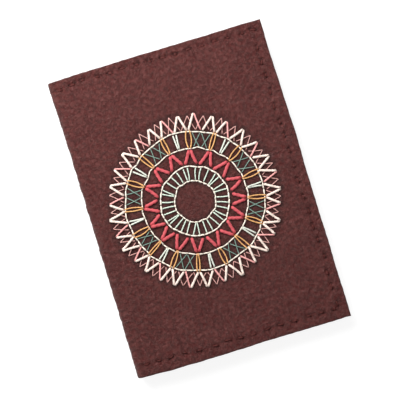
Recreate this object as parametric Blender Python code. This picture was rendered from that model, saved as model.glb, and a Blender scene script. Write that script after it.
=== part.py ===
"""Needle book: a folded felt case for sewing needles, closed and lying on its back cover.

The cover is one strip of felt with a lining, folded twice round a narrow spine. Four felt pages, cut as
two folded sheets, are sewn through the spine. The front cover carries an embroidered medallion.
X runs from the spine to the fore edge, Y along the spine, Z up. The origin is under the middle.
"""

import math

import bmesh
import bpy

MM = 0.001
PARTS = "needle_case"
CUTTERS = "cutters"

# Driving dimensions, in metres. Lower-case x below is measured from the outside of the spine.
CASE_WIDTH = 90 * MM
CASE_LENGTH = 126 * MM
OUTER_FELT = 1.2 * MM
LINING_FELT = 1.0 * MM
PAGE_FELT = 0.9 * MM
LAYER_GAP = 0.15 * MM
LINING_INSET = 1.0 * MM
PAGE_LENGTH = 114 * MM
PAGE_FORE_EDGE = 83 * MM
PAGE_COUNT = 4
CORNER_RADIUS = 1.2 * MM

# Layers of the closed book.
COVER = OUTER_FELT + LAYER_GAP + LINING_FELT
PAGE_PITCH = PAGE_FELT + LAYER_GAP
INSIDE = PAGE_COUNT * PAGE_PITCH + LAYER_GAP
THICKNESS = 2 * COVER + INSIDE
MIDDLE = THICKNESS / 2
FOLD = COVER / 2  # each cover fold turns about the middle of the cover's thickness
CORNER_GAP = 0.05 * MM  # between the spine's felt and a cover's felt, on the fold's diagonal

# The two page folds stand inside the spine, one within the other.
OUTER_FOLD = COVER + LAYER_GAP
INNER_FOLD = OUTER_FOLD + PAGE_PITCH
OUTER_LEAF_START = OUTER_FOLD + PAGE_PITCH
BINDING_ROOM = 0.65 * MM  # for the binding thread, between the inner fold and its leaves
INNER_LEAF_START = INNER_FOLD + PAGE_FELT + BINDING_ROOM

# Threads.
THREAD_RADIUS = 0.2 * MM
CHANNEL_WIDTH = 1.2 * MM
CHANNEL_DEPTH = 0.9 * MM
STITCH_DEPTH = 0.3 * MM  # of the thread's middle, at the top of a stitch
DIVE_DEPTH = 0.6 * MM  # of the thread's middle, where it goes down into the felt
TOP_PITCH = 5.5 * MM
FORE_PITCH = 6.4 * MM
BOTTOM_PITCH = 5.9 * MM
STITCH_LENGTH = 2.2 * MM
SEAM_START = 3.4 * MM
SEAM_TO_TOP = 3.5 * MM
SEAM_TO_FORE_EDGE = 4.3 * MM
SEAM_TO_BOTTOM = 4.3 * MM
BINDING_LENGTH = 108 * MM
BINDING_PITCH = 9 * MM
SPINE_STITCH_TOP = 0.9 * MM  # from the middle of a spine stitch to where it starts to go down
SPINE_STITCH_END = 1.5 * MM

# The medallion: its centre, its four rings, and the places of its repeats in degrees from +X.
MEDALLION = (-1.9 * MM, -0.3 * MM)
RING_RADII = (8.4 * MM, 14.2 * MM, 21.8 * MM, 28.5 * MM)
RING_SIDES = 40
LOOPS = 16  # amber loops round the medallion; the other patterns repeat on or between them
STEP = 360 / LOOPS
AMBER_AT = 10.1
TEAL_AT = AMBER_AT + STEP / 2
PALE_AT = AMBER_AT - STEP / 2
AMBER_HALF = 1.5
TEAL_REACH = 7.4
PALE_OUTER_HALF = 1.4
PALE_INNER_HALF = 1.0
TURN = 0.7  # half the angle of a thread's turn at a point
POINT_RADIUS = 35.5 * MM
PINK_POINT_RADIUS = 35.0 * MM
POINT_START = 0.8 * MM  # from the outer ring to the inner ends of the cream points
PINK_START = 1.3 * MM
BESIDE_RING = 0.7 * MM  # from a ring to a thread that turns beside it
THREAD_GAP = 0.1 * MM
LOW_LAYER = THICKNESS + THREAD_GAP + THREAD_RADIUS
HIGH_LAYER = LOW_LAYER + 2 * THREAD_RADIUS + THREAD_GAP

# Hinge axes as (x, z), each with the body it turns on.
HINGES = {
    "spine": (FOLD, FOLD, None),
    "front_cover": (FOLD, THICKNESS - FOLD, "spine"),
    "leaf_1": (OUTER_FOLD + PAGE_FELT / 2, MIDDLE + 1.5 * PAGE_PITCH, "spine"),
    "leaf_2": (INNER_FOLD + PAGE_FELT / 2, MIDDLE + 0.5 * PAGE_PITCH, "spine"),
    "leaf_3": (INNER_FOLD + PAGE_FELT / 2, MIDDLE - 0.5 * PAGE_PITCH, "spine"),
    "leaf_4": (OUTER_FOLD + PAGE_FELT / 2, MIDDLE - 1.5 * PAGE_PITCH, "spine"),
}

# Colours as sRGB, with the roughness of felt and of stranded cotton.
FELT_ROUGHNESS = 0.95
COTTON_ROUGHNESS = 0.6
COLOURS = {
    "cover_felt": (0.385, 0.235, 0.23),
    "lining_felt": (0.42, 0.27, 0.25),
    "page_felt": (0.90, 0.86, 0.78),
    "seam_cotton": (0.40, 0.26, 0.24),
    "white_cotton": (0.88, 0.84, 0.80),
    "mint_cotton": (0.78, 0.84, 0.78),
    "coral_cotton": (0.86, 0.38, 0.40),
    "amber_cotton": (0.88, 0.65, 0.36),
    "teal_cotton": (0.42, 0.57, 0.52),
    "pale_cotton": (0.82, 0.86, 0.82),
    "cream_cotton": (0.94, 0.87, 0.83),
    "pink_cotton": (0.80, 0.60, 0.58),
}

hinge_empties = {}


def clear_scene():
    for obj in list(bpy.data.objects):
        bpy.data.objects.remove(obj, do_unlink=True)
    for name in (PARTS, CUTTERS):
        collection = bpy.data.collections.get(name) or bpy.data.collections.new(name)
        if name not in bpy.context.scene.collection.children:
            bpy.context.scene.collection.children.link(collection)
    bpy.data.collections[CUTTERS].hide_render = True


def linear(value):
    """One sRGB channel as linear light."""
    return value / 12.92 if value <= 0.04045 else ((value + 0.055) / 1.055) ** 2.4


def material(name, obj_name):
    """A Principled material of its own for one object, in one of the named colours."""
    made = bpy.data.materials.new(f"{obj_name}_{name}")
    made.use_nodes = True
    shader = made.node_tree.nodes["Principled BSDF"]
    shader.inputs["Base Color"].default_value = (*map(linear, COLOURS[name]), 1.0)
    shader.inputs["Metallic"].default_value = 0.0
    rough = FELT_ROUGHNESS if name.endswith("felt") else COTTON_ROUGHNESS
    shader.inputs["Roughness"].default_value = rough
    return made


def flip(z):
    """The same height counted from the top of the closed book."""
    return THICKNESS - z


def hinge_point(body):
    """World position of a body's hinge axis, or the origin for the back cover."""
    if body not in HINGES:
        return (0.0, 0.0, 0.0)
    x, z, _ = HINGES[body]
    return (x - CASE_WIDTH / 2, 0.0, z)


def make_hinges():
    """One empty on each hinge axis, parented as the book is joined."""
    for body, (_, _, parent) in HINGES.items():
        empty = bpy.data.objects.new(f"hinge_{body}", None)
        empty.empty_display_size = 5 * MM
        bpy.data.collections[PARTS].objects.link(empty)
        here = hinge_point(body)
        base = hinge_point(parent)
        empty.parent = hinge_empties.get(parent)
        empty.location = [a - b for a, b in zip(here, base)]
        hinge_empties[body] = empty


def attach(obj, body, colour):
    """Puts an object whose data is in world coordinates on its body, with its origin on the hinge."""
    bpy.data.collections[PARTS].objects.link(obj)
    obj.parent = hinge_empties.get(body)
    obj.data.materials.append(material(colour, obj.name))


def box_mesh(name, body, x_span, y_span, z_span, rounded=0.0):
    """A closed box as a mesh. With rounded, the two upright edges at the fore edge are rounded."""
    spans = ([v - CASE_WIDTH / 2 for v in x_span], y_span, z_span)
    sizes = [high - low for low, high in spans]
    origin = hinge_point(body)
    centre = [(low + high) / 2 - o for (low, high), o in zip(spans, origin)]
    mesh = bpy.data.meshes.new(name)
    bm = bmesh.new()
    bmesh.ops.create_cube(bm, size=1.0)
    bmesh.ops.scale(bm, vec=sizes, verts=bm.verts)
    bmesh.ops.translate(bm, vec=centre, verts=bm.verts)
    if rounded:
        fore = [
            edge
            for edge in bm.edges
            if abs(edge.verts[0].co.z - edge.verts[1].co.z) > sizes[2] / 2
            and edge.verts[0].co.x > centre[0]
        ]
        bmesh.ops.bevel(bm, geom=fore, offset=rounded, segments=3, profile=0.5, affect="EDGES")
    bm.to_mesh(mesh)
    bm.free()
    return mesh


def felt(name, body, colour, x_span, y_span, z_span, rounded=0.0):
    obj = bpy.data.objects.new(name, box_mesh(name, body, x_span, y_span, z_span, rounded))
    attach(obj, body, colour)
    return obj


def cut(target, body, x_span, y_span, z_span):
    """Takes a box out of a piece of felt, for a channel that a thread lies in."""
    name = f"cut_{target.name}_{len(target.modifiers) + 1}"
    cutter = bpy.data.objects.new(name, box_mesh(name, body, x_span, y_span, z_span))
    bpy.data.collections[CUTTERS].objects.link(cutter)
    cutter.parent = hinge_empties.get(body)
    cutter.hide_render = True
    cutter.display_type = "WIRE"
    boolean = target.modifiers.new(name, "BOOLEAN")
    boolean.operation = "DIFFERENCE"
    boolean.solver = "EXACT"
    boolean.object = cutter


def strand(name, body, colour, points, closed=False):
    """A thread through world points, as a square-sided tube."""
    origin = hinge_point(body)
    curve = bpy.data.curves.new(name, "CURVE")
    curve.dimensions = "3D"
    curve.twist_mode = "Z_UP"
    curve.bevel_depth = THREAD_RADIUS
    curve.bevel_resolution = 0
    curve.use_fill_caps = True
    spline = curve.splines.new("POLY")
    spline.points.add(len(points) - 1)
    for knot, point in zip(spline.points, points):
        knot.co = (*(p - o for p, o in zip(point, origin)), 1.0)
    spline.use_cyclic_u = closed
    obj = bpy.data.objects.new(name, curve)
    attach(obj, body, colour)
    return obj


def stitches(start, end, pitch):
    """(place, depth) pairs of a running thread between two places along a line."""
    count = round(abs(end - start) / pitch)
    step = (end - start) / count
    half = math.copysign(STITCH_LENGTH / 2, step)
    for number in range(count):
        middle = start + (number + 0.5) * step
        yield middle - half, DIVE_DEPTH
        yield middle, STITCH_DEPTH
        yield middle + half, DIVE_DEPTH


def channel(along, across):
    """The spans of a thread's channel that runs along one span at one place across."""
    return along, (across - CHANNEL_WIDTH / 2, across + CHANNEL_WIDTH / 2)


def cover(side, body, level):
    """The outer felt, lining and seam thread of one cover. level turns depth into height."""
    half = CASE_LENGTH / 2
    start = OUTER_FELT + CORNER_GAP
    outer_z = sorted((level(0), level(OUTER_FELT)))
    outer_x = (start, CASE_WIDTH)
    outer = felt(f"outer_felt_{side}", body, "cover_felt", outer_x, (-half, half), outer_z, CORNER_RADIUS)
    lining_x = (OUTER_FELT + LAYER_GAP, CASE_WIDTH - LINING_INSET)
    lining_y = (-half + LINING_INSET, half - LINING_INSET)
    lining_z = sorted((level(OUTER_FELT + LAYER_GAP), level(COVER)))
    felt(f"lining_felt_{side}", body, "lining_felt", lining_x, lining_y, lining_z, CORNER_RADIUS)

    top = half - SEAM_TO_TOP
    bottom = -half + SEAM_TO_BOTTOM
    fore = CASE_WIDTH - SEAM_TO_FORE_EDGE
    channel_x = (SEAM_START - CHANNEL_WIDTH, fore + CHANNEL_WIDTH / 2)
    channel_y = (bottom - CHANNEL_WIDTH / 2, top + CHANNEL_WIDTH / 2)
    channel_z = sorted((level(-OUTER_FELT), level(CHANNEL_DEPTH)))
    for y in (top, bottom):
        along, across = channel(channel_x, y)
        cut(outer, body, along, across, channel_z)
    along, across = channel(channel_y, fore)
    cut(outer, body, across, along, channel_z)

    shift = CASE_WIDTH / 2
    corner_z = level(DIVE_DEPTH)
    points = [(x - shift, top, level(d)) for x, d in stitches(SEAM_START, fore, TOP_PITCH)]
    points.append((fore - shift, top, corner_z))
    points += [(fore - shift, y, level(d)) for y, d in stitches(top, bottom, FORE_PITCH)]
    points.append((fore - shift, bottom, corner_z))
    points += [(x - shift, bottom, level(d)) for x, d in stitches(fore, SEAM_START, BOTTOM_PITCH)]
    strand(f"seam_thread_{side}", body, "seam_cotton", points)


def spine():
    """The narrow panel between the two folds, its lining, and what is sewn to it."""
    half = CASE_LENGTH / 2
    outer_z = (OUTER_FELT + CORNER_GAP, flip(OUTER_FELT + CORNER_GAP))
    outer = felt("outer_felt_spine", "spine", "cover_felt", (0, OUTER_FELT), (-half, half), outer_z)
    lining_z = (COVER + LAYER_GAP, flip(COVER + LAYER_GAP))
    lining_y = (-half + LINING_INSET, half - LINING_INSET)
    felt("lining_felt_spine", "spine", "lining_felt", (OUTER_FELT + LAYER_GAP, COVER), lining_y, lining_z)

    binding_y = (-BINDING_LENGTH / 2, BINDING_LENGTH / 2)
    channel_x = (-OUTER_FELT, CHANNEL_DEPTH)
    along, across = channel(binding_y, MIDDLE)
    cut(outer, "spine", channel_x, along, across)
    shift = CASE_WIDTH / 2
    points = [(d - shift, y, MIDDLE) for y, d in stitches(*binding_y, BINDING_PITCH)]
    strand("binding_thread_outside", "spine", "seam_cotton", points)
    inner_face = INNER_FOLD + PAGE_FELT + LAYER_GAP + THREAD_RADIUS
    points = [(inner_face - shift, y, MIDDLE) for y in binding_y]
    strand("binding_thread_inside", "spine", "seam_cotton", points)

    across_spine = (MIDDLE - STITCH_LENGTH, MIDDLE + STITCH_LENGTH)
    for end, y in (("top", half - SEAM_TO_TOP), ("bottom", -half + SEAM_TO_BOTTOM)):
        along, across = channel(across_spine, y)
        cut(outer, "spine", channel_x, across, along)
        rise = ((SPINE_STITCH_TOP, STITCH_DEPTH), (SPINE_STITCH_END, DIVE_DEPTH))
        places = [(-away, depth) for away, depth in reversed(rise)] + list(rise)
        points = [(depth - shift, y, MIDDLE + away) for away, depth in places]
        strand(f"spine_stitch_{end}", "spine", "seam_cotton", points)


def pages():
    """Two folded sheets: each fold stands on the spine, and its two leaves turn about it."""
    page_y = (-PAGE_LENGTH / 2, PAGE_LENGTH / 2)
    outer_half = 1.5 * PAGE_PITCH - LAYER_GAP / 2
    inner_half = 0.5 * PAGE_PITCH - 2 * LAYER_GAP
    for name, x, half in (
        ("outer_page_fold", OUTER_FOLD, outer_half),
        ("inner_page_fold", INNER_FOLD, inner_half),
    ):
        felt(name, "spine", "page_felt", (x, x + PAGE_FELT), page_y, (MIDDLE - half, MIDDLE + half))
    for number in range(1, PAGE_COUNT + 1):
        z = MIDDLE + (2.5 - number) * PAGE_PITCH
        start = INNER_LEAF_START if number in (2, 3) else OUTER_LEAF_START
        span = (z - PAGE_FELT / 2, z + PAGE_FELT / 2)
        felt(f"page_{number}", f"leaf_{number}", "page_felt", (start, PAGE_FORE_EDGE), page_y, span)


def round_thread(name, colour, height, count, start, pattern):
    """A closed thread: pattern's (degrees, radius) points, repeated count times round the medallion."""
    points = []
    for number in range(count):
        for degrees, radius in pattern:
            angle = math.radians(start + number * 360 / count + degrees)
            x = MEDALLION[0] + radius * math.cos(angle)
            y = MEDALLION[1] + radius * math.sin(angle)
            points.append((x, y, height))
    strand(name, "front_cover", colour, points, closed=True)


def medallion():
    """Rings, spokes, points, loops and crosses, each colour one thread laid on the felt.

    Threads that cross lie in two layers. Where a colour's stitches are apart, its thread runs on
    beside a ring.
    """
    ring_1, ring_2, ring_3, ring_4 = RING_RADII
    for name, radius in zip(("centre_ring", "spoke_ring", "middle_ring", "outer_ring"), RING_RADII):
        round_thread(name, "white_cotton", HIGH_LAYER, RING_SIDES, AMBER_AT, [(0, radius)])

    spoke = STEP / 4
    spokes = [(-spoke, ring_1), (-spoke, ring_2), (spoke, ring_2), (spoke, ring_1)]
    round_thread("mint_spokes", "mint_cotton", LOW_LAYER, LOOPS, AMBER_AT, spokes)

    peak = ring_3 - BESIDE_RING
    valley = ring_2 + BESIDE_RING
    coral = [(-TURN, peak), (TURN, peak), (STEP / 2 - 2 * TURN, valley), (STEP / 2 + 2 * TURN, valley)]
    round_thread("coral_points", "coral_cotton", LOW_LAYER, LOOPS, AMBER_AT, coral)

    low = ring_3 - 0.2 * MM
    high = ring_4 - 0.4 * MM
    amber = [(-AMBER_HALF, low), (-AMBER_HALF, high), (AMBER_HALF, high), (AMBER_HALF, low)]
    amber.append((STEP / 2, low))
    round_thread("amber_loops", "amber_cotton", LOW_LAYER, LOOPS, AMBER_AT, amber)

    # two crosses on each side of the middle, then a travel beside a ring to the next ones
    for name, height, middle_radius, end_radius in (
        ("teal_crosses_under", LOW_LAYER, ring_3 + BESIDE_RING, ring_4 + 0.5 * MM),
        ("teal_crosses_over", HIGH_LAYER, ring_4 - 1.5 * MM, ring_3 + 0.9 * MM),
    ):
        cross = [(-TEAL_REACH, end_radius), (-TURN, middle_radius), (TURN, middle_radius)]
        cross += [(degrees, end_radius) for degrees in (TEAL_REACH, 15, STEP, 30)]
        round_thread(name, "teal_cotton", height, LOOPS // 2, TEAL_AT, cross)

    low = ring_3 + 1.6 * MM
    high = ring_4 - 0.75 * MM
    pale = [(-PALE_OUTER_HALF, high), (-PALE_INNER_HALF, low), (PALE_INNER_HALF, low)]
    pale += [(degrees, high) for degrees in (PALE_OUTER_HALF, 8, 15, STEP, 30, 37)]
    round_thread("pale_bars", "pale_cotton", HIGH_LAYER, LOOPS // 2, PALE_AT, pale)

    quarter = STEP / 4
    for name, colour, height, start, away, high in (
        ("pink_points", "pink_cotton", LOW_LAYER, AMBER_AT, PINK_START, PINK_POINT_RADIUS),
        ("cream_points", "cream_cotton", HIGH_LAYER, AMBER_AT + quarter, POINT_START, POINT_RADIUS),
    ):
        low = ring_4 + away
        points = [(-TURN, high), (TURN, high), (quarter - TURN, low), (quarter + TURN, low)]
        round_thread(name, colour, height, 2 * LOOPS, start, points)


def main():
    clear_scene()
    make_hinges()
    cover("back", "back_cover", lambda depth: depth)
    spine()
    pages()
    cover("front", "front_cover", flip)
    medallion()


main()
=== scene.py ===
import math

import bpy
import numpy as np
from mathutils import Matrix, Vector
from mathutils.kdtree import KDTree


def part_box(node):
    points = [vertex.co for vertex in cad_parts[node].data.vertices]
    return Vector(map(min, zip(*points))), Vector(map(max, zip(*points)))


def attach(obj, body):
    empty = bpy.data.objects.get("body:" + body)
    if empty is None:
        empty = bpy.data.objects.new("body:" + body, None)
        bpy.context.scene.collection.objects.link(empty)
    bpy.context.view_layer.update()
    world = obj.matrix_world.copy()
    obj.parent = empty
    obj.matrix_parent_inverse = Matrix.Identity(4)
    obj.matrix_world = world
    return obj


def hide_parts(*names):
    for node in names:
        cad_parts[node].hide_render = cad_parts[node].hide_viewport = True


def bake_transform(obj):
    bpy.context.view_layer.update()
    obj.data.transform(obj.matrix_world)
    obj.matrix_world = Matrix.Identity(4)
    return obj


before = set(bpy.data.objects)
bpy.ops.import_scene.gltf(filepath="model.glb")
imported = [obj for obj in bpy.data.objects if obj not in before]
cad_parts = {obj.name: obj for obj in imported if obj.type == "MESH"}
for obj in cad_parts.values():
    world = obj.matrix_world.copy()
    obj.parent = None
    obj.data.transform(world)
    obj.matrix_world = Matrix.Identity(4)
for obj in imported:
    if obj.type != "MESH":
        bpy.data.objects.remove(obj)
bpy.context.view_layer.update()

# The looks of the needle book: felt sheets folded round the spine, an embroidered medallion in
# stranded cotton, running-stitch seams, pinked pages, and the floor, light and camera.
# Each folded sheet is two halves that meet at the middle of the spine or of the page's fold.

MM = 0.001

# ---------------------------------------------------------------- sizes from the frame
FRONT_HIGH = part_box("outer_felt_front")[1]
LINING_LOW, LINING_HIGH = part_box("lining_felt_back")
LEFT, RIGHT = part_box("outer_felt_spine")[0].x, FRONT_HIGH.x
TOP = FRONT_HIGH.y                                # the book reaches from -TOP to TOP
THICK = FRONT_HIGH.z
MIDDLE = THICK / 2
OUTER_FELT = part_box("outer_felt_back")[1].z       # thickness of the outer felt
COVER = LINING_HIGH.z                             # and of the outer felt with the lining
LINING_INSET = RIGHT - LINING_HIGH.x
RING_NAMES = ("centre_ring", "spoke_ring", "middle_ring", "outer_ring")
RINGS = [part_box(name) for name in RING_NAMES]
THREAD_HALF = (RINGS[0][1].z - RINGS[0][0].z) / 2
CENTRE = np.array([(RINGS[3][0][i] + RINGS[3][1][i]) / 2 for i in (0, 1)])
RADII = [(high.x - low.x) / 2 - THREAD_HALF for low, high in RINGS]

# ---------------------------------------------------------------- the looks' own sizes
CORNER = 3.0 * MM          # outer radius of each cover fold
PAGE_CORNER = 0.62 * MM    # inner radius of each page fold
GRID = 0.5 * MM            # spacing of the outer felt's points
COARSE_GRID = 0.8 * MM     # and of the lining's and the pages'
EDGE_REACH = 18 * MM       # how far in from a cut edge its wandering moves the felt
EDGE_ROUND = 0.46          # radius of a cut edge's rounding, as a share of the sheet's thickness
GRAIN_HEIGHT = 0.022 * MM
GRAIN_SHIFT = 40           # moves the grain along by this many times the depth, so that the faces differ
SEAM_STITCH = 2.2 * MM     # mean length of a seam's visible stitches
SEAM_TROUGH = 0.35 * MM    # how deep a tight stitch draws the felt in
SEAM_RADIUS = 0.25 * MM
PRESS_AND_SHADE_REACH = 1.5 * MM     # how far from a thread the felt is still pressed in and painted with shade
NEAR_THREAD_SHADE = 0.85         # how dark the painted shade on the felt is right beside embroidery
PRESS_DEPTH = 0.10 * MM
RIM_SHADE = 0.5            # how dark the painted shade along the covers' cut edges is
# the painted shade along the pages' cut edges, and how far in from a cut edge the painted shade reaches
PAGE_RIM_SHADE = 0.15
RIM_SHADE_REACH = 0.35 * MM
CORNER_LIFT = 0.9 * MM     # how far the front cover rises by its lower edge
PINK_DEPTH = 1.1 * MM      # the zigzag cut of the pages' edges
PINK_PITCH = 3.6 * MM
SEED = 29

rng = np.random.default_rng(SEED)


def smooth(t):
    t = np.clip(t, 0.0, 1.0)
    return t * t * (3 - 2 * t)


def ripples(seed, count, shortest, longest):
    """A smooth random height of about unit size, as a sum of waves between two lengths."""
    source = np.random.default_rng(seed)
    lengths = np.exp(source.uniform(math.log(shortest), math.log(longest), count))
    angles = source.uniform(0, 2 * math.pi, count)
    phases = source.uniform(0, 2 * math.pi, count)

    def height(x, y):
        total = 0.0
        for length, angle, phase in zip(lengths, angles, phases):
            k = 2 * math.pi / length
            total = total + np.sin(k * (x * math.cos(angle) + y * math.sin(angle)) + phase)
        return total * math.sqrt(2 / count)

    return height


SWELL = ripples(3, 14, 22 * MM, 70 * MM)
GRAIN = ripples(5, 40, 1.6 * MM, 5 * MM)
EDGE_SLOW = ripples(7, 8, 30 * MM, 90 * MM)
EDGE_QUICK = ripples(9, 16, 3 * MM, 12 * MM)
SEAM_SWAY = ripples(11, 8, 18 * MM, 50 * MM)


def swell(x, y):
    """Slow waviness that all the sheets share, fading out towards the spine."""
    return 0.10 * MM * SWELL(x, y) * smooth((x - LEFT - 6 * MM) / (14 * MM))


def bulge(place, centre, width):
    """A smooth hump of height 1 round a centre."""
    return np.exp(-(((place - centre) / width) ** 2))


def front_swell(x, y):
    """The front cover has the same waviness, and rises a little by its lower edge."""
    return swell(x, y) + CORNER_LIFT * bulge(x, -20 * MM, 18 * MM) * bulge(y, -TOP + 4 * MM, 10 * MM)


# ---------------------------------------------------------------- mesh helpers
def mesh_object(name, points, faces, attributes=None):
    """A smooth-shaded mesh object from arrays of points and quads, turned to face outwards."""
    points = np.asarray(points, np.float64)
    faces = np.asarray(faces, np.int32)
    volume = 0.0
    for half in (faces[:, :3], faces[:, [0, 2, 3]]):
        a, b, c = (points[half[:, i]] for i in range(3))
        volume += np.einsum("ij,ij->i", a, np.cross(b, c)).sum()
    if volume < 0:
        faces = faces[:, ::-1]
    mesh = bpy.data.meshes.new(name)
    mesh.vertices.add(len(points))
    mesh.vertices.foreach_set("co", points.astype(np.float32).ravel())
    mesh.loops.add(faces.size)
    mesh.loops.foreach_set("vertex_index", faces.ravel())
    mesh.polygons.add(len(faces))
    mesh.polygons.foreach_set("loop_start", np.arange(0, faces.size, 4, dtype=np.int32))
    mesh.polygons.foreach_set("loop_total", np.full(len(faces), 4, np.int32))
    mesh.update(calc_edges=True)
    mesh.validate()
    mesh.shade_smooth()
    for key, values in (attributes or {}).items():
        values = np.asarray(values, np.float32)
        kind = "FLOAT_VECTOR" if values.ndim == 2 else "FLOAT"
        layer = mesh.attributes.new(key, kind, "POINT")
        layer.data.foreach_set("vector" if values.ndim == 2 else "value", values.ravel())
    obj = bpy.data.objects.new(name, mesh)
    bpy.context.scene.collection.objects.link(obj)
    return obj


def closed_sheet(name, outer, inner, attributes):
    """A closed sheet from the grids of its two faces, with walls round its edge.

    attributes gives each key's values on the outer and the inner face.
    """
    rows, columns = outer.shape[:2]
    index = np.arange(rows * columns).reshape(rows, columns)
    face = np.stack([index[:-1, :-1], index[1:, :-1], index[1:, 1:], index[:-1, 1:]], -1).reshape(-1, 4)
    rim = np.concatenate([index[:-1, 0], index[-1, :-1], index[:0:-1, -1], index[0, :0:-1]])
    after = np.roll(rim, -1)
    shift = rows * columns
    wall = np.stack([rim, after, after + shift, rim + shift], -1)
    faces = np.concatenate([face[:, ::-1], face + shift, wall])
    points = np.concatenate([outer.reshape(-1, 3), inner.reshape(-1, 3)])
    layers = {}
    for key, (outside, inside) in attributes.items():
        values = np.concatenate([outside.reshape(shift, -1), inside.reshape(shift, -1)])
        layers[key] = values[:, 0] if values.shape[1] == 1 else values
    return mesh_object(name, points, faces, layers)


def edge_spaced(low, high, step, low_edge, high_edge):
    """Places from low to high at about one step, closer together at a free edge."""
    near = np.array([0.0, 0.08, 0.2, 0.36]) * MM
    first_step = 0.3 * MM
    inner_low = low + (near[-1] + first_step if low_edge else 0)
    inner_high = high - (near[-1] + first_step if high_edge else 0)
    count = max(2, round((inner_high - inner_low) / step) + 1)
    parts = [np.linspace(inner_low, inner_high, count)]
    if low_edge:
        parts.insert(0, low + near)
    if high_edge:
        parts.append(high - near[::-1])
    return np.concatenate(parts)


# ---------------------------------------------------------------- dents and painted shade under stitches
class DentsAndShade:
    """Small hollows where thread goes into felt, as a depth and as painted shade on the felt's colour."""

    def __init__(self):
        self.rows = []
        self.near_thread = None

    def add(self, x, y, depth, size, shade):
        self.rows.append((x, y, depth, size, shade))

    def shade_near_threads(self, places):
        """Remembers where embroidery lies, because the felt between close threads is pressed in a little and
        gets painted shade.
        """
        self.near_thread = KDTree(len(places))
        for index, (px, py) in enumerate(places):
            self.near_thread.insert((px, py, 0), index)
        self.near_thread.balance()

    def over(self, x, y):
        """(depth, painted shade) at the points of a grid whose x and y are nearly its rows and columns."""
        depth, painted_shade = np.zeros_like(x), np.zeros_like(x)
        x_line, y_line = x[:, x.shape[1] // 2], y[y.shape[0] // 2, :]
        for dx, dy, amount, size, shade in self.rows:
            reach = 3 * size + 1 * MM
            i = slice(*np.searchsorted(x_line, [dx - reach, dx + reach]))
            j = slice(*np.searchsorted(y_line, [dy - reach, dy + reach]))
            bump = np.exp(-((x[i, j] - dx) ** 2 + (y[i, j] - dy) ** 2) / (2 * size * size))
            depth[i, j] = np.maximum(depth[i, j], amount * bump)
            # painted shade in and round each stitch hole
            painted_shade[i, j] = np.maximum(painted_shade[i, j], shade * bump)
        if self.near_thread is not None:
            medallion_reach = RADII[3] + 10 * MM
            for i, j in np.argwhere(np.hypot(x - CENTRE[0], y - CENTRE[1]) < medallion_reach):
                away = self.near_thread.find((x[i, j], y[i, j], 0))[2]
                close = math.exp(-((away / PRESS_AND_SHADE_REACH) ** 2))
                # painted shade between close threads, and below it a real shallow pressing in
                painted_shade[i, j] = max(painted_shade[i, j], NEAR_THREAD_SHADE * close)
                depth[i, j] += PRESS_DEPTH * close
        return depth, painted_shade


# ---------------------------------------------------------------- felt sheets
TURN_STEPS = 10


def fold_path(corner, middle, low_x, high_x, step):
    """Stations of a sheet that goes down the spine, round a corner and out to the fore edge.

    Each station is (height, turn, run): the height on the spine above the outer face, the turned
    angle and the distance run past the corner.
    """
    spine = np.linspace(middle, corner, max(2, round((middle - corner) / step) + 1))
    turns = np.linspace(0, math.pi / 2, TURN_STEPS + 1)[1:]
    runs = edge_spaced(low_x + corner, high_x, step, False, True)[1:]
    kinds = [(z, 0.0, 0.0) for z in spine] + [(corner, a, 0.0) for a in turns]
    kinds += [(corner, math.pi / 2, x - low_x - corner) for x in runs]
    return np.array(kinds)


def path_points(stations, corner, low_x, depth):
    """(x, z) of each station, for the half by the back cover.

    depth is measured in from the sheet's outer face, one for all stations or one for each.
    """
    height, turn, run = stations.T
    inner = corner - depth
    straight = height > corner
    x = np.where(straight, low_x + depth, low_x + corner - inner * np.cos(turn) + run)
    z = np.where(straight, height, corner - inner * np.sin(turn))
    return x, z


def edge_round(gap, radius):
    """How far a face drops at a distance from the sheet's cut edge."""
    left = radius - np.minimum(gap, radius)
    return radius - np.sqrt(np.maximum(radius * radius - left * left, 0))


class Outline:
    """How the hand-cut edges of a sheet stray from straight lines, in metres outwards."""

    def __init__(self, shift, bulges=True):
        """shift picks another stretch of the random waves, so that no two sheets match."""
        self.shift, self.bulges = shift, bulges

    def place(self, front):
        return self.shift + (0.0 if front else 0.37)

    def fore(self, y, front):
        """The fore edge, at heights y up the sheet."""
        other = y * 0 + self.place(front)
        stray = 0.07 * MM * EDGE_SLOW(y, other) + 0.05 * MM * EDGE_QUICK(y, other)
        if self.bulges:
            upper = 0.36 * MM * bulge(y, 14 * MM, 12 * MM)
            lower = 0.30 * MM * bulge(y, -22 * MM, 34 * MM)
            stray = stray + 0.10 * MM + upper + lower
        return stray

    def end(self, x, y, front):
        """The top edge where y is above 0, and the bottom edge where it is below."""
        other = self.place(front) + np.where(y > 0, 0.0, 0.19)
        stray = 0.06 * MM * EDGE_SLOW(x, other) + 0.05 * MM * EDGE_QUICK(x, other)
        if self.bulges:
            top = 0.10 * MM + 0.34 * MM * bulge(x, -12 * MM, 26 * MM)
            bottom = 0.38 * MM + 0.22 * MM * bulge(x, -14 * MM, 18 * MM)
            bottom = bottom - 0.30 * MM * bulge(x, LEFT, 10 * MM) + 0.25 * MM * bulge(x, RIGHT, 25 * MM)
            stray = stray + np.where(y > 0, top, bottom)
        return stray


def spine_swell(x, y):
    """How far the folded felt stands out past the spine's flat face, most at the flared ends."""
    ends = 0.55 * MM * bulge(y, TOP, 18 * MM) + 0.20 * MM * bulge(y, -TOP, 14 * MM)
    out = 0.24 * MM + ends + 0.05 * MM * EDGE_QUICK(y, 0.6)
    return out * (1 - smooth((x - LEFT) / (9 * MM)))


def saw(place):
    """The zigzag of pinking shears, from 0 to 1."""
    return np.abs((place / PINK_PITCH) % 1.0 * 2 - 1)


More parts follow.
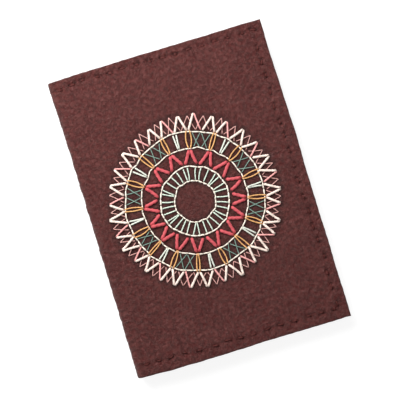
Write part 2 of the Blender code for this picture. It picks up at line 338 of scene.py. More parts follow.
def felt_half(name, front, depths, low_x, high_x, half_length, corner, middle, step, outline,
              dents=None, pinked=0.0, trough=None, rim_shade=RIM_SHADE, waves=swell):
    """One half of a folded felt sheet, from the middle of its fold to its fore edge.

    depths are those of its two faces. They, the corner's radius and the height of the fold's
    middle are measured from one outer face, the book's or the sheet's own. Returns the object
    and the half's flat width.
    """
    first, last = depths
    stations = fold_path(corner, middle, low_x, high_x, step)
    y_line = edge_spaced(-half_length, half_length, step, True, True)
    rim = (last - first) * EDGE_ROUND
    run = stations[:, 2]
    x_flat, _ = path_points(stations, corner, low_x, first)
    x = np.repeat(x_flat[:, None], len(y_line), 1)
    y = np.repeat(y_line[None, :], len(stations), 0)
    middle_line = path_points(stations, corner, low_x, (first + last) / 2)
    along = np.cumsum(np.hypot(*[np.diff(c, prepend=c[0]) for c in middle_line]))
    half_width = along[-1]
    along = -along if front else along

    # hand-cut edges: the outline wanders a little, and pinked pages have teeth
    from_fore = high_x - x
    from_end = half_length - np.abs(y)
    gap = np.minimum(from_fore, from_end)
    shift_x = outline.fore(y, front) * smooth(1 - from_fore / EDGE_REACH)
    shift_y = outline.end(x, y, front) * smooth(1 - from_end / EDGE_REACH)
    if pinked:
        tooth_reach = 5 * MM
        shift_x = shift_x - pinked * saw(y) * smooth(1 - from_fore / tooth_reach)
        shift_y = shift_y - pinked * saw(x) * smooth(1 - from_end / tooth_reach)
    faces, painted_shades, flats = [], [], []
    for depth, inward in ((first, 1.0), (last, -1.0)):
        here = depth + inward * edge_round(gap, rim)
        if inward > 0 and dents is not None:
            # hollows under stitches, with their painted shade
            hollow, painted_shade = dents.over(x, y)
            here = here + hollow + (trough(x, y) if trough is not None else 0)
        else:
            painted_shade = np.zeros_like(x)
        # painted shade along the cut edges, darkest right at the edge
        painted_shade = np.maximum(painted_shade, rim_shade * np.exp(-((gap / RIM_SHADE_REACH) ** 2)))
        here = here + inward * GRAIN_HEIGHT * GRAIN(along[:, None] + depth * GRAIN_SHIFT, y)
        px, pz = path_points(np.repeat(stations, len(y_line), 0), corner, low_x, here.ravel())
        px, pz = px.reshape(x.shape), pz.reshape(x.shape)
        px = px + shift_x - spine_swell(x, y) * outline.bulges
        if front:
            pz = THICK - pz
        pz = pz + waves(x, y)
        faces.append(np.stack([px, y + np.sign(y) * shift_y, pz], -1))
        painted_shades.append(painted_shade)
        flats.append(np.stack([along[:, None] + y * 0, y, np.full_like(y, depth)], -1) / MM)
    obj = closed_sheet(name, faces[0], faces[1], {"flat": flats, "painted_shade": painted_shades})
    return obj, half_width


# ---------------------------------------------------------------- thread
SIDES = 10
END_SHARE = 0.55           # a stitch's thickness where it ends, in the felt
END_REACH = 1.4            # how far from its end it has its whole thickness, in radii


class Thread:
    """Collects twisted stitches of two plies and makes one mesh of them."""

    def __init__(self, radius, twist=2.6 * MM, groove=0.22, step=0.36 * MM, up=(0.0, 0.0, 1.0), flat=1.0):
        """twist is the length of one turn, groove how deep the plies part, flat the height by the width."""
        self.radius, self.twist, self.groove, self.step = radius, twist, groove, step
        self.half_height = radius * flat
        self.up = np.array(up)
        self.points, self.faces, self.strand, self.count = [], [], [], 0

    def add(self, line):
        """A tube along a line of points, with twisted plies and narrowed ends."""
        ahead = np.gradient(line, axis=0)
        ahead /= np.linalg.norm(ahead, axis=1)[:, None]
        across = line[-1] - line[0]
        side = np.cross(across / np.linalg.norm(across), self.up)
        side = side / np.linalg.norm(side)
        side = side - ahead * (ahead @ side)[:, None]
        side /= np.linalg.norm(side, axis=1)[:, None]
        above = np.cross(side, ahead)
        length = np.concatenate([[0], np.cumsum(np.linalg.norm(np.diff(line, axis=0), axis=1))])
        ends = np.minimum(length, length[-1] - length) / self.radius
        fat = self.radius * (END_SHARE + (1 - END_SHARE) * smooth(ends / END_REACH))
        angle = 2 * math.pi * np.arange(SIDES) / SIDES
        start = rng.uniform(0, 2 * math.pi)
        turned = angle[None, :] - 2 * math.pi * length[:, None] / self.twist + start
        reach = fat[:, None] * (1 - self.groove * np.sin(turned) ** 2)
        ring = (
            line[:, None, :]
            + (reach * np.cos(angle))[..., None] * side[:, None, :]
            + (reach * np.sin(angle))[..., None] * above[:, None, :] * (self.half_height / self.radius)
        )
        n = len(line)
        index = self.count + np.arange(n * SIDES).reshape(n, SIDES)
        around = np.roll(index, -1, axis=1)
        wall = np.stack([index[:-1], index[1:], around[1:], around[:-1]], -1).reshape(-1, 4)
        cap = np.array([(j, j + 1, SIDES - 2 - j, SIDES - 1 - j) for j in range(SIDES // 2 - 1)])
        self.faces += [wall, index[0][cap], index[-1][cap[:, ::-1]]]
        self.points.append(ring.reshape(-1, 3))
        shade = rng.uniform(0, 1)
        marks = np.stack(np.broadcast_arrays(length[:, None] / MM, turned / (2 * math.pi), shade), -1)
        self.strand.append(marks.reshape(-1, 3))
        self.count += n * SIDES

    def make(self, name, material, slot, body, *nodes):
        obj = mesh_object(name, np.concatenate(self.points), np.concatenate(self.faces),
                          {"strand": np.concatenate(self.strand)})
        obj.data.materials.append(material)
        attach(obj, body)
        if nodes:
            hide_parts(*nodes)
        return obj


STIFFNESS = 0.22 / MM      # how sharply a thread bends down off what it lies on
STACK_SHARE = 0.85         # crossing threads press into each other a little
CLEAR_OF_HOLE = 0.4 * MM   # this near its hole a stitch doesn't climb over another


class Surface:
    """A felt face that stitches lie on: it knows its height and what has been laid on it so far."""

    def __init__(self, height, dents):
        self.height, self.dents = height, dents
        self.laid = np.zeros((0, 3))
        self.laid_size = np.zeros((0, 2))

    def stitch(self, thread, start, end, bow=0.0, dent=0.22 * MM, sink=0.25, hole=0.38 * MM, pull=None):
        """Lays one stitch between two holes, over the felt and over the stitches that it crosses.

        bow is how far it strays to one side, sink the share of it that sinks into the felt, and
        dent and hole the depth and size of the hollows at its ends, which also get painted shade.
        pull, from 0 to 1, is how hard a seam's stitch draws the felt into a trough, and how dark
        the painted shade at its holes is; without it the holes get full painted shade.
        """
        start, end = np.asarray(start, float), np.asarray(end, float)
        radius, half_height = thread.radius, thread.half_height
        span = np.linalg.norm(end - start)
        count = max(7, round(span / thread.step) + 1)
        t = np.linspace(0, 1, count)
        t = 0.5 * (t + smooth(t)) if count > 8 else t
        plan = start + (end - start) * t[:, None]
        normal = np.array([-(end - start)[1], (end - start)[0]]) / span
        plan = plan + normal * (bow * np.sin(math.pi * t))[:, None]
        along = t * span
        from_end = np.minimum(along, span - along)
        ground = self.height(plan[:, 0], plan[:, 1]) - SEAM_TROUGH * (pull or 0.0)
        rest = ground + (1 - sink) * half_height
        if len(self.laid):
            near = np.abs(self.laid[:, :2] - (start + end) / 2).max(1) < span / 2 + 2 * MM
            laid, laid_size = self.laid[near], self.laid_size[near]
            away = np.linalg.norm(plan[:, None, :] - laid[None, :, :2], axis=2) / (radius + laid_size[:, 0])
            tall = STACK_SHARE * (half_height + laid_size[:, 1]) * np.sqrt(np.maximum(1 - away**2, 0))
            lift = np.where(away < 1, laid[None, :, 2] + tall, -1)
            lift = lift.max(1) if laid.size else np.full(count, -1.0)
            rest = np.where(from_end > CLEAR_OF_HOLE, np.maximum(rest, lift), rest)
        held = (rest[None, :] - STIFFNESS * (along[:, None] - along[None, :]) ** 2).max(1)
        dive = smooth(from_end / (1.3 * radius + 0.25 * MM))
        low = ground - 1.3 * half_height
        z = low + (held - low) * dive
        line = np.column_stack([plan, z])
        thread.add(line)
        self.laid = np.concatenate([self.laid, line])
        self.laid_size = np.concatenate([self.laid_size, np.tile((radius, half_height), (count, 1))])
        # the holes' hollows also get painted shade, as dark as the seam's pull
        for place in (start, end):
            self.dents.add(place[0], place[1], dent, hole, 1.0 if pull is None else pull)


DRIFT_MEAN = 0.64          # how far the hand-sewn pattern has crept round, in degrees
DRIFT_WAVES = ((1, 1.57, 129), (2, 0.67, -60), (3, 1.01, 175))      # times round, size and phase in degrees


def drift(degrees):
    """The maker's uneven spacing: how far round from its even place a stitch lies, in degrees."""
    waves = [size * math.cos(math.radians(times * degrees - phase)) for times, size, phase in DRIFT_WAVES]
    return DRIFT_MEAN + sum(waves)


def at(degrees, radius):
    """A point of the medallion, by its even angle and its distance from the centre."""
    angle = math.radians(degrees + drift(degrees))
    return CENTRE + radius * np.array([math.cos(angle), math.sin(angle)])


def jitter(size):
    return rng.normal(0, size)


# ---------------------------------------------------------------- materials
def srgb(r, g, b):
    """An 8-bit sRGB colour as linear light."""
    out = []
    for value in (r / 255, g / 255, b / 255):
        out.append(value / 12.92 if value <= 0.04045 else ((value + 0.055) / 1.055) ** 2.4)
    return (*out, 1.0)


class Shader:
    """A small builder for a node material."""

    def __init__(self, name):
        self.material = bpy.data.materials.new(name)
        self.material.use_nodes = True
        self.tree = self.material.node_tree
        self.principled = self.tree.nodes["Principled BSDF"]

    def node(self, kind, inputs=(), output=0, **settings):
        made = self.tree.nodes.new(kind)
        for key, value in settings.items():
            setattr(made, key, value)
        for key, value in dict(inputs).items():
            socket = made.inputs[key]
            if isinstance(value, bpy.types.NodeSocket):
                self.tree.links.new(value, socket)
            else:
                socket.default_value = value
        return made.outputs[output]

    def attribute(self, name, output):
        return self.node("ShaderNodeAttribute", attribute_name=name, output=output)

    def math(self, operation, a, b=0.0, c=0.5):
        return self.node("ShaderNodeMath", {0: a, 1: b, 2: c}, operation=operation)

    def noise(self, where, scale, detail=2.0, rough=0.5, distortion=0.0):
        inputs = {"Vector": where, "Scale": scale, "Detail": detail, "Roughness": rough}
        return self.node("ShaderNodeTexNoise", {**inputs, "Distortion": distortion}, noise_dimensions="3D")

    def ramp(self, value, low, high):
        """value rescaled so that low becomes 0 and high becomes 1, clamped."""
        return self.node("ShaderNodeMapRange", {0: value, 1: low, 2: high, 3: 0.0, 4: 1.0})

    def mix(self, factor, a, b, blend="MIX"):
        made = self.tree.nodes.new("ShaderNodeMix")
        made.data_type, made.blend_type = "RGBA", blend
        for key, kind, value in (("Factor", "VALUE", factor), ("A", "RGBA", a), ("B", "RGBA", b)):
            socket = next(s for s in made.inputs if s.name == key and s.type == kind)
            if isinstance(value, bpy.types.NodeSocket):
                self.tree.links.new(value, socket)
            else:
                socket.default_value = value
        return next(s for s in made.outputs if s.type == "RGBA")

    def stretched(self, where, scale, turn):
        return self.node("ShaderNodeMapping", {0: where, 2: (0, 0, turn), 3: scale})

    def bump(self, height, strength, distance):
        return self.node("ShaderNodeBump", {"Height": height, "Strength": strength, "Distance": distance})

    def finish(self, colour, roughness, normal, sheen=0.0, sheen_tint=(1, 1, 1, 1), specular=0.3):
        shader = self.principled
        for key, value in (("Base Color", colour), ("Roughness", roughness), ("Normal", normal)):
            if isinstance(value, bpy.types.NodeSocket):
                self.tree.links.new(value, shader.inputs[key])
            elif value is not None:
                shader.inputs[key].default_value = value
        shader.inputs["Sheen Weight"].default_value = sheen
        shader.inputs["Sheen Roughness"].default_value = 0.5
        shader.inputs["Sheen Tint"].default_value = sheen_tint
        shader.inputs["Specular IOR Level"].default_value = specular
        return self.material


PAINTED_SHADE_TINT = (0.32, 0.24, 0.22, 1)      # what felt keeps of its colour under painted shade


def felt_material(name, dark, light, fibre, sheen, strands_seen, specular, relief):
    """Matted wool: cloudy mottling, tangled lighter fibres, and painted shade where thread presses it in,
    between close threads and along cut edges.

    The noises' scales are per millimetre of the flat sheet. The mottling also turns the felt
    from dull to slightly shiny, because matted patches catch the light.
    """
    s = Shader(name)
    flat = s.attribute("flat", 1)
    painted_shade = s.attribute("painted_shade", 2)
    cloud = s.noise(flat, 0.12, 2.0, 0.5)
    blotch = s.noise(flat, 0.65, 3.0, 0.62, 0.6)
    speck = s.noise(flat, 2.6, 2.0, 0.6)
    tone = s.math("MULTIPLY", cloud, 0.20)
    tone = s.math("ADD", tone, s.math("MULTIPLY", blotch, 0.50))
    tone = s.math("ADD", tone, s.math("MULTIPLY", speck, 0.30))
    colour = s.mix(s.ramp(tone, 0.38, 0.64), dark, light)
    strands = 0.0
    for scale, distortion, width in ((0.55, 1.6, 0.020), (0.9, 1.2, 0.024), (1.5, 0.8, 0.030)):
        field = s.noise(s.stretched(flat, (1, 1, 0.3), 1.3 * scale), scale, 1.0, 0.5, distortion)
        line = s.ramp(s.math("ABSOLUTE", s.math("SUBTRACT", field, 0.5)), width, width * 0.3)
        strands = s.math("MAXIMUM", strands, line)
    present = s.ramp(s.noise(flat, 0.6, 1.0), 0.42, 0.62)
    strands = s.math("MULTIPLY", strands, present)
    colour = s.mix(s.math("MULTIPLY", strands, strands_seen), colour, fibre)
    # painted shade: the felt darkened to a redder tone where thread presses it, between close threads and
    # along cut edges
    shaded = s.mix(1.0, colour, PAINTED_SHADE_TINT, "MULTIPLY")
    colour = s.mix(s.ramp(painted_shade, 0.15, 1.0), colour, shaded)
    rough = s.node("ShaderNodeMapRange", {0: blotch, 1: 0.36, 2: 0.64, 3: 0.84, 4: 0.48})
    rough = s.math("SUBTRACT", rough, s.math("MULTIPLY", strands, 0.22))
    height = s.math("ADD", blotch, s.math("MULTIPLY", speck, 0.5))
    height = s.math("ADD", height, s.math("MULTIPLY", strands, 0.35))
    return s.finish(colour, rough, s.bump(height, 1.0, relief), sheen, fibre, specular)


LINES_ROUND = 7            # fine fibres seen round a thread
LINE_RELIEF = 0.1 * MM


def cotton_material(name, colour, depth=0.72, sheen=0.25, roughness=0.55):
    """Stranded cotton: fine lines that follow the twist, with each stitch a slightly different tone.

    depth is the share of the colour that is left in the painted shade between the fibres.
    """
    s = Shader(name)
    strand = s.attribute("strand", 1)
    parts = s.node("ShaderNodeSeparateXYZ", {0: strand})
    shade = parts.node.outputs[2]
    along = parts.node.outputs[0]
    turned = parts.node.outputs[1]
    lines = s.math("SINE", s.math("MULTIPLY", turned, 2 * math.pi * LINES_ROUND))
    lines = s.math("MULTIPLY_ADD", lines, 0.5, 0.5)
    scaled = [s.math("MULTIPLY", value, by) for value, by in ((along, 0.9), (turned, 9.0), (shade, 40.0))]
    fluff = s.noise(s.node("ShaderNodeCombineXYZ", dict(enumerate(scaled))), 1.0, 2.0, 0.6)
    tone = s.math("ADD", s.math("MULTIPLY", lines, 0.45), s.math("MULTIPLY", fluff, 0.75))
    # painted shade in the grooves between the fibres
    dark = (*[c * depth for c in colour[:3]], 1.0)
    body = s.mix(s.ramp(tone, 0.2, 0.85), dark, colour)
    tint = s.node("ShaderNodeMapRange", {0: shade, 1: 0.0, 2: 1.0, 3: 0.0, 4: 0.22})
    body = s.mix(tint, body, dark)
    rough = s.node("ShaderNodeMapRange", {0: fluff, 1: 0.3, 2: 0.7, 3: roughness + 0.1, 4: roughness - 0.08})
    return s.finish(body, rough, s.bump(tone, 0.5, LINE_RELIEF), sheen, colour, 0.25)


FELT = felt_material(
    "brown_felt", dark=srgb(60, 3, 1), light=srgb(86, 36, 31), fibre=srgb(126, 88, 82),
    sheen=0.02, strands_seen=0.30, specular=0.35, relief=0.75 * MM,
)
LINING = felt_material(
    "lining_felt", dark=srgb(96, 46, 40), light=srgb(118, 64, 56), fibre=srgb(150, 106, 98),
    sheen=0.05, strands_seen=0.28, specular=0.25, relief=0.6 * MM,
)
PAGE = felt_material(
    "page_felt", dark=srgb(184, 171, 153), light=srgb(198, 187, 170), fibre=srgb(214, 206, 192),
    sheen=0.10, strands_seen=0.3, specular=0.15, relief=0.25 * MM,
)
WHITE = cotton_material("white_cotton", srgb(240, 229, 214))
MINT = cotton_material("mint_cotton", srgb(206, 220, 204))
CORAL = cotton_material("coral_cotton", srgb(188, 78, 84))
AMBER = cotton_material("amber_cotton", srgb(216, 162, 104))
TEAL = cotton_material("teal_cotton", srgb(124, 150, 138))
PALE = cotton_material("pale_cotton", srgb(212, 216, 204))
CREAM = cotton_material("cream_cotton", srgb(234, 214, 202))
BLUSH = cotton_material("blush_cotton", srgb(226, 158, 154))
PINK = cotton_material("pink_cotton", srgb(212, 160, 152))
SEAM = cotton_material("seam_cotton", srgb(92, 42, 38), depth=0.6, sheen=0.05, roughness=0.8)


# ---------------------------------------------------------------- embroidery
front_dents = DentsAndShade()
front_face = Surface(lambda x, y: THICK + front_swell(x, y), front_dents)


HOLE_SLIP = 0.072          # how unevenly a ring's holes are spaced, in stitches


def ring_stitches(radius, count, half_width, wander):
    """A ring of back stitch whose holes wander a little in and out."""
    thread = Thread(half_width)
    offsets = [jitter(wander) for _ in range(count)]
    angles = [360 / count * (k + jitter(HOLE_SLIP)) for k in range(count)]
    for k in range(count):
        after = (k + 1) % count
        turn = 360 if after == 0 else 0
        start = at(angles[k], radius + offsets[k])
        end = at(angles[after] + turn, radius + offsets[after])
        front_face.stitch(thread, start, end, bow=jitter(0.05 * MM), dent=0.14 * MM)
    return thread


AMBER_AT = 10.1            # the even angle of the first amber loop, in degrees
STEP = 360 / 16            # from each amber loop to the next
PINK_PEAK = 35.0 * MM      # how far the zigzags' peaks are from the centre
CREAM_PEAK = 35.4 * MM
ring_1, ring_2, ring_3, ring_4 = RADII


def pink_points():
    """A thin zigzag outside the outer ring, with a peak over each amber loop and between them."""
    thread = Thread(0.19 * MM, step=0.3 * MM)
    for k in range(32):
        middle = AMBER_AT + k * STEP / 2 + jitter(0.4)
        peak = at(middle, PINK_PEAK + jitter(0.35 * MM))
        for side in (-1, 1):
            valley_at = AMBER_AT + (k + side / 2) * STEP / 2 + jitter(0.5) - side * 0.5
            valley = at(valley_at, ring_4 + 0.9 * MM + jitter(0.2 * MM))
            front_face.stitch(thread, valley, peak, bow=jitter(0.12 * MM), dent=0.10 * MM)
    return thread


def cream_points():
    """The thick zigzag over it, half a point on, with every fourth stroke blush instead of cream."""
    cream, blush = Thread(0.52 * MM, flat=0.85), Thread(0.39 * MM)
    for k in range(32):
        middle = AMBER_AT + (k + 0.5) * STEP / 2 + jitter(0.35)
        peak_radius = CREAM_PEAK + jitter(0.35 * MM)
        for side in (-1, 1):
            valley_at = AMBER_AT + (k + 0.5 + side / 2) * STEP / 2
            valley = at(valley_at - side * 0.55 + jitter(0.15), ring_4 + 0.45 * MM + jitter(0.12 * MM))
            thread = blush if side < 0 and k % 2 == 1 else cream
            peak = at(middle + side * 0.25, peak_radius)
            front_face.stitch(thread, valley, peak, bow=jitter(0.10 * MM))
    return cream, blush


def coral_points():
    """The thick zigzag between the spoke ring and the middle ring."""
    thread = Thread(0.74 * MM, twist=3.6 * MM, flat=0.7)
    for k in range(16):
        peak_at = AMBER_AT + k * STEP
        for side in (-1, 1):
            peak = at(peak_at + side * 0.9, ring_3 - 0.75 * MM + jitter(0.15 * MM))
            valley_at = peak_at + side * (STEP / 2 - 1.9 + jitter(0.6))
            valley = at(valley_at, ring_2 + 0.85 * MM + jitter(0.2 * MM))
            front_face.stitch(thread, peak, valley, bow=jitter(0.12 * MM))
    return thread


SPOKE_PULL = {1: 3.9, 2: -3.9}     # in each five spokes, two lean together at the centre ring, in degrees


def mint_spokes():
    """Straight strokes from the centre ring to the spoke ring."""
    thread = Thread(0.28 * MM)
    for k in range(32):
        base = AMBER_AT + (k + 0.5) * STEP / 2
        pull = SPOKE_PULL.get(k % 5, 0.0)
        start = at(base + pull + jitter(0.9), ring_1 + 0.2 * MM)
        end = at(base + 0.35 * pull + jitter(0.7), ring_2 - 0.2 * MM)
        front_face.stitch(thread, start, end, bow=jitter(0.08 * MM), dent=0.12 * MM)
    return thread


def amber_loops():
    """Pairs of bowed strokes that close into loops between the middle ring and the outer ring."""
    thread = Thread(0.29 * MM)
    for k in range(16):
        middle = AMBER_AT + k * STEP + jitter(0.3)
        wide = rng.uniform(0.6, 1.4)
        narrow = rng.uniform(0.5, 0.9)
        swelling = rng.uniform(0.3, 0.8) * MM
        for side in (-1, 1):
            inner = at(middle + side * narrow, ring_3 - 0.45 * MM)
            outer = at(middle + side * wide, ring_4 + 0.5 * MM)
            bow = side * swelling * rng.uniform(0.5, 1.0)
            front_face.stitch(thread, inner, outer, bow=bow, dent=0.18 * MM)
    return thread


def teal_crosses():
    """Two thin crosses in every other gap between the amber loops."""
    thread = Thread(0.185 * MM, step=0.3 * MM)
    low, high = ring_3 + 0.35 * MM, ring_4 - 0.4 * MM
    for k in range(8):
        middle = AMBER_AT + STEP / 2 + k * 45 + jitter(0.3)
        for side in (-1, 1):
            far, near = side * 7.3, side * 0.9
            for inner, outer in ((far, near), (near, far)):
                start = at(middle + inner + jitter(0.35), low + jitter(0.15 * MM))
                end = at(middle + outer + jitter(0.35), high + jitter(0.15 * MM))
                front_face.stitch(thread, start, end, bow=jitter(0.08 * MM), dent=0.10 * MM)
    return thread


def pale_bars():
    """Two pale strokes, wider apart at the outer ring, in the other gaps."""
    thread = Thread(0.36 * MM)
    for k in range(8):
        middle = AMBER_AT - STEP / 2 + k * 45 + jitter(0.3)
        wide, narrow = rng.uniform(1.4, 2.2), rng.uniform(0.4, 0.8)
        for side in (-1, 1):
            start = at(middle + side * narrow, ring_3 + 0.15 * MM)
            end = at(middle + side * wide, ring_4 - 0.3 * MM)
            front_face.stitch(thread, start, end, bow=jitter(0.06 * MM), dent=0.14 * MM)
    return thread


RING_STITCHES = ((30, 0.31), (32, 0.34), (48, 0.29), (64, 0.31))    # count, half width in mm


def medallion():
    """All the embroidery, in the order in which the layers lie on one another."""
    body = "front_cover"
    mint_spokes().make("thread_spokes", MINT, "mint_cotton", body, "mint_spokes")
    coral_points().make("thread_coral", CORAL, "coral_cotton", body, "coral_points")
    teal_crosses().make("thread_teal", TEAL, "teal_cotton", body, "teal_crosses_under", "teal_crosses_over")
    pale_bars().make("thread_pale_bars", PALE, "pale_cotton", body, "pale_bars")
    pink_points().make("thread_pink", PINK, "pink_cotton", body, "pink_points")
    for name, radius, (count, half_width) in zip(RING_NAMES, RADII, RING_STITCHES):
        ring = ring_stitches(radius, count, half_width * MM, 0.22 * MM)
        ring.make(f"thread_{name}", WHITE, "white_cotton", body, name)
    cream, blush = cream_points()
    cream.make("thread_cream", CREAM, "cream_cotton", body, "cream_points")
    blush.make("thread_blush", BLUSH, "pink_cotton", body)
    amber_loops().make("thread_amber", AMBER, "amber_cotton", body, "amber_loops")
    front_dents.shade_near_threads(front_face.laid[:, :2])


# ---------------------------------------------------------------- seams
TOP_PULL, FORE_PULL, BOTTOM_PULL = 1.0, 0.95, 0.5      # how tight each row was sewn, which sets its trough's depth and how dark the painted shade at its holes is


def seam_holes():
    """(start, end, pull) of each running stitch on a cover: along its top, fore edge and bottom."""
    rows = []

    def run(start, end, count, point, pull):
        step = (end - start) / (count - 1)
        for k in range(count):
            middle = start + k * step + jitter(0.4 * MM)
            half = math.copysign(SEAM_STITCH / 2 * rng.uniform(0.65, 1.2), step)
            start_hole, end_hole = point(middle - half), point(middle + half)
            rows.append((start_hole, end_hole, min(1.0, pull * rng.uniform(0.6, 1.15))))

    def top(x):
        return x, TOP - 3.5 * MM + 0.3 * MM * SEAM_SWAY(x, 0.0) + jitter(0.22 * MM)

    def fore(y):
        inset = 4.3 * MM - 0.7 * MM * bulge(y, -TOP, 45 * MM) + 0.25 * MM * SEAM_SWAY(y, 0.2)
        return RIGHT - inset + jitter(0.22 * MM), y

    def bottom(x):
        return x, -TOP + 4.3 * MM + 0.3 * MM * SEAM_SWAY(x, 0.4) + jitter(0.22 * MM)

    run(LEFT + 3.4 * MM, RIGHT - 3.6 * MM, 16, top, TOP_PULL)
    run(TOP - 10.2 * MM, -TOP + 6.4 * MM, 18, fore, FORE_PULL)
    run(RIGHT - 5.0 * MM, LEFT + 4.2 * MM, 15, bottom, BOTTOM_PULL)
    return rows


def seam_trough(holes):
    """The hollow that a running stitch pulls into the felt along its own length."""
    def depth(x, y):
        hollow = np.zeros_like(x)
        for a, b, pull in holes:
            a, b = np.array(a), np.array(b)
            middle = (a + b) / 2
            ahead = (b - a) / np.linalg.norm(b - a)
            dx, dy = x - middle[0], y - middle[1]
            near = (np.abs(dx) < 4 * MM) & (np.abs(dy) < 4 * MM)
            along = dx[near] * ahead[0] + dy[near] * ahead[1]
            across = -dx[near] * ahead[1] + dy[near] * ahead[0]
            shape = np.exp(-((along / (1.5 * MM)) ** 4) - (across / (0.8 * MM)) ** 2)
            hollow[near] = np.maximum(hollow[near], pull * SEAM_TROUGH * shape)
        return hollow
    return depth


LONGEST_INSIDE_STITCH = 8 * MM         # the thread doesn't cut across a corner of the lining


def seam_threads(side, front, holes, dents):
    """The seam's visible stitches on a cover's outer face, and the ones between them on its lining."""
    sign = 1.0 if front else -1.0
    base = THICK if front else 0.0
    waves = front_swell if front else swell
    face = Surface(lambda x, y: sign * waves(x, y), dents)
    thread = Thread(SEAM_RADIUS, groove=0.25)
    for start, end, pull in holes:
        bow = jitter(0.05 * MM)
        face.stitch(thread, start, end, bow=bow, dent=0.60 * MM, hole=0.46 * MM, pull=pull)
    mirror_thread(thread, sign, base)
    thread.make(f"seam_stitches_{side}", SEAM, "seam_cotton", f"{side}_cover", f"seam_thread_{side}")
    inside = Surface(lambda x, y: -sign * waves(x, y), DentsAndShade())
    lining = Thread(SEAM_RADIUS, groove=0.25)
    for (_, start, _), (end, _, _) in zip(holes[:-1], holes[1:]):
        if math.dist(start, end) < LONGEST_INSIDE_STITCH:
            inside.stitch(lining, start, end, bow=jitter(0.05 * MM), sink=0.5)
    mirror_thread(lining, -sign, THICK - COVER if front else COVER)
    lining.make(f"seam_stitches_{side}_inside", SEAM, "seam_cotton", f"{side}_cover")


def mirror_thread(thread, sign, base):
    """Turns stitches made as heights above a face into world places on a face that looks up or down."""
    for block in thread.points:
        block[:, 2] = base + sign * block[:, 2]
    if sign < 0:
        thread.faces = [face[:, ::-1] for face in thread.faces]


# ---------------------------------------------------------------- folds and pages
def bend(obj, bodies):
    """Bakes a sheet's placement into its points, the same whichever bodies it lies between."""
    if bodies[0] == "spine":
        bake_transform(obj)
    else:
        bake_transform(obj)


def cover_sheets():
    holes = {side: seam_holes() for side in ("front", "back")}
    for side, bodies in (("front", ("spine", "front_cover")), ("back", ("back_cover", "spine"))):
        front = side == "front"
        waves = front_swell if front else swell
        dents = front_dents if front else DentsAndShade()
        seam_threads(side, front, holes[side], dents)
        obj, flat_width = felt_half(
            f"felt_{side}", front, (0.0, OUTER_FELT), LEFT, RIGHT, TOP, CORNER, MIDDLE, GRID,
            Outline(0.31), dents, trough=seam_trough(holes[side]), waves=waves,
        )
        obj.data.materials.append(FELT)
        bend(obj, bodies)
        nodes = [f"outer_felt_{side}"] + (["outer_felt_spine"] if front else [])
        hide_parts(*nodes)

        half = TOP - LINING_INSET
        obj, flat_width = felt_half(
            f"lining_{side}", front, (LINING_LOW.z, COVER), LEFT, RIGHT - LINING_INSET, half, CORNER, MIDDLE,
            COARSE_GRID, Outline(0.5), waves=waves,
        )
        obj.data.materials.append(LINING)
        bend(obj, bodies)
        nodes = [f"lining_felt_{side}"] + (["lining_felt_spine"] if front else [])
        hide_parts(*nodes)


def page_sheets():
    """Two folded page sheets as four halves, each from the middle of its fold to its pinked fore edge."""
    for number in range(1, 5):
        front = number <= 2
        low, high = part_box(f"page_{number}")
        fold = "inner_page_fold" if number in (2, 3) else "outer_page_fold"
        fold_low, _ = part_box(fold)
        thickness = high.z - low.z
        # the page is made as if its outer face were the book's, and then moved in to its place
        outer_z = THICK - high.z if front else low.z
        outline = Outline(0.1 * number, bulges=False)
        obj, flat_width = felt_half(
            f"felt_page_{number}", front, (0.0, thickness), fold_low.x, high.x, high.y,
            PAGE_CORNER + thickness, MIDDLE - outer_z, COARSE_GRID, outline,
            pinked=PINK_DEPTH, rim_shade=PAGE_RIM_SHADE,
        )
        obj.data.transform(Matrix.Translation((0, 0, -outer_z if front else outer_z)))
        obj.data.materials.append(PAGE)
        bodies = ("spine", f"leaf_{number}")
        bend(obj, bodies)
        nodes = [f"page_{number}"] + ([fold] if front else [])
        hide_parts(*nodes)


# ---------------------------------------------------------------- spine stitches
def spine_thread(lines, radius, name, body, *nodes):
    """One piece of the stitches that stand out of the spine or the inner fold."""
    thread = Thread(radius, groove=0.25, up=(-1.0, 0.0, 0.0))
    for line in lines:
        thread.add(np.asarray(line))
    return thread.make(name, SEAM, "seam_cotton", body, *nodes)


def arch(start, end, outward, radius, dive):
    """A short stitch between two holes, standing out of a face and diving into it at both ends."""
    t = np.linspace(0, 1, 11)
    span = np.linalg.norm(np.subtract(end, start))
    from_end = np.minimum(t, 1 - t) * span
    lift = -dive + (dive + 0.1 * radius) * smooth(from_end / (2.2 * radius))
    return np.asarray(start) + np.subtract(end, start) * t[:, None] + np.asarray(outward) * lift[:, None]


def spine_stitches():
    """A stitch at each end of the spine, and the binding's running stitch along its middle."""
    radius = 0.26 * MM
    outward = (-1, 0, 0)
    for end, node in (("top", "spine_stitch_top"), ("bottom", "spine_stitch_bottom")):
        low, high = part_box(node)
        y = (low.y + high.y) / 2
        x = LEFT - float(spine_swell(LEFT, y))
        line = arch((x, y, MIDDLE - 1.3 * MM), (x, y, MIDDLE + 1.3 * MM), outward, radius, 0.5 * MM)
        spine_thread([line], radius, f"stitch_spine_{end}", "spine", node)
    low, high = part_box("binding_thread_outside")
    pitch = 9 * MM
    count = round((high.y - low.y) / pitch)
    outside, inside = [], []
    inner_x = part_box("binding_thread_inside")[0].x
    for k in range(count):
        y = low.y + (k + 0.5) * (high.y - low.y) / count
        x = LEFT - float(spine_swell(LEFT, y))
        outside.append(arch((x, y - 2 * MM, MIDDLE), (x, y + 2 * MM, MIDDLE), outward, radius, 0.5 * MM))
        start, stop = (inner_x, y + 2.4 * MM, MIDDLE), (inner_x, y + 6.6 * MM, MIDDLE)
        inside.append(arch(start, stop, (1, 0, 0), radius, 0.4 * MM))
    spine_thread(outside, radius, "binding_stitches_outside", "spine", "binding_thread_outside")
    spine_thread(inside, radius, "binding_stitches_inside", "spine", "binding_thread_inside")


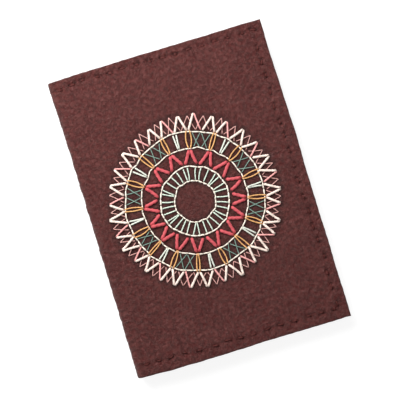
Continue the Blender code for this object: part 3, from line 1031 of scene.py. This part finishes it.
# ---------------------------------------------------------------- floor, light and camera
FLOOR_HALF = 1.2
FLOOR_DROP = 0.4 * MM                      # room under the book for the back seam's stitches
FLOOR_GLOW = 0.87                          # a back-lit table, which leaves only a faint shadow
WALLS_END, CEILING_START = 0.25, 0.85      # heights on the unit sky where the walls fade to the ceiling
WALL_LIGHT, CEILING_LIGHT = 0.80, 0.12


def pale_floor():
    mesh = bpy.data.meshes.new("floor")
    corners = [(x * FLOOR_HALF, y * FLOOR_HALF, 0) for x, y in ((-1, -1), (1, -1), (1, 1), (-1, 1))]
    mesh.from_pydata(corners, [], [(0, 1, 2, 3)])
    floor = bpy.data.objects.new("floor", mesh)
    floor.location.z = -FLOOR_DROP
    bpy.context.scene.collection.objects.link(floor)
    s = Shader("pale_floor")
    where = s.node("ShaderNodeTexCoord", output=3)
    tint = s.ramp(s.noise(where, 8.0, 2.0), 0.3, 0.7)
    colour = s.mix(tint, (0.20, 0.20, 0.20, 1), (0.22, 0.22, 0.22, 1))
    floor.data.materials.append(s.finish(colour, 0.9, None))
    s.principled.inputs["Emission Color"].default_value = (1, 1, 1, 1)
    s.principled.inputs["Emission Strength"].default_value = FLOOR_GLOW


def sky():
    """Pale walls round the table and a dim ceiling, so that the felt isn't washed out from above."""
    world = bpy.data.worlds.new("studio")
    world.use_nodes = True
    nodes, links = world.node_tree.nodes, world.node_tree.links
    parts = nodes.new("ShaderNodeSeparateXYZ")
    links.new(nodes.new("ShaderNodeTexCoord").outputs["Generated"], parts.inputs[0])
    height = nodes.new("ShaderNodeMapRange")
    height.interpolation_type = "SMOOTHSTEP"
    for place, value in enumerate((WALLS_END, CEILING_START, WALL_LIGHT, CEILING_LIGHT), 1):
        height.inputs[place].default_value = value
    links.new(parts.outputs["Z"], height.inputs[0])
    links.new(height.outputs[0], nodes["Background"].inputs["Strength"])
    nodes["Background"].inputs["Color"].default_value = (1.0, 1.0, 1.0, 1)
    bpy.context.scene.world = world


def key_light():
    """One large, soft light beyond the book's top edge, aimed at its middle."""
    light = bpy.data.lights.new("key", "AREA")
    light.shape = "SQUARE"
    light.size, light.energy = 0.28, 3.1
    obj = bpy.data.objects.new("key", light)
    obj.location = (-0.09, 0.24, 0.28)
    obj.rotation_euler = (-obj.location).to_track_quat("-Z", "Y").to_euler()
    bpy.context.scene.collection.objects.link(obj)


def camera():
    """Straight above the book and turned, so that the book lies at a slant in the picture."""
    turn = math.radians(-17)
    right = Vector((math.cos(turn), math.sin(turn), 0))
    up = Vector((-math.sin(turn), math.cos(turn), 0))
    lens, sensor, width = 135.0, 36.0, 163.1 * MM
    data = bpy.data.cameras.new("camera")
    data.lens, data.sensor_width = lens, sensor
    data.clip_start, data.clip_end = 0.01, 10
    obj = bpy.data.objects.new("camera", data)
    aim = Vector(((LEFT + RIGHT) / 2, 0, THICK)) + right * 0.24 * MM - up * 0.4 * MM
    obj.location = aim + Vector((0, 0, width * lens / sensor))
    obj.rotation_euler = (0, 0, turn)
    bpy.context.scene.collection.objects.link(obj)
    bpy.context.scene.camera = obj


medallion()
cover_sheets()
page_sheets()
spine_stitches()
pale_floor()
sky()
key_light()
camera()
bpy.context.scene.view_settings.view_transform = "Standard"
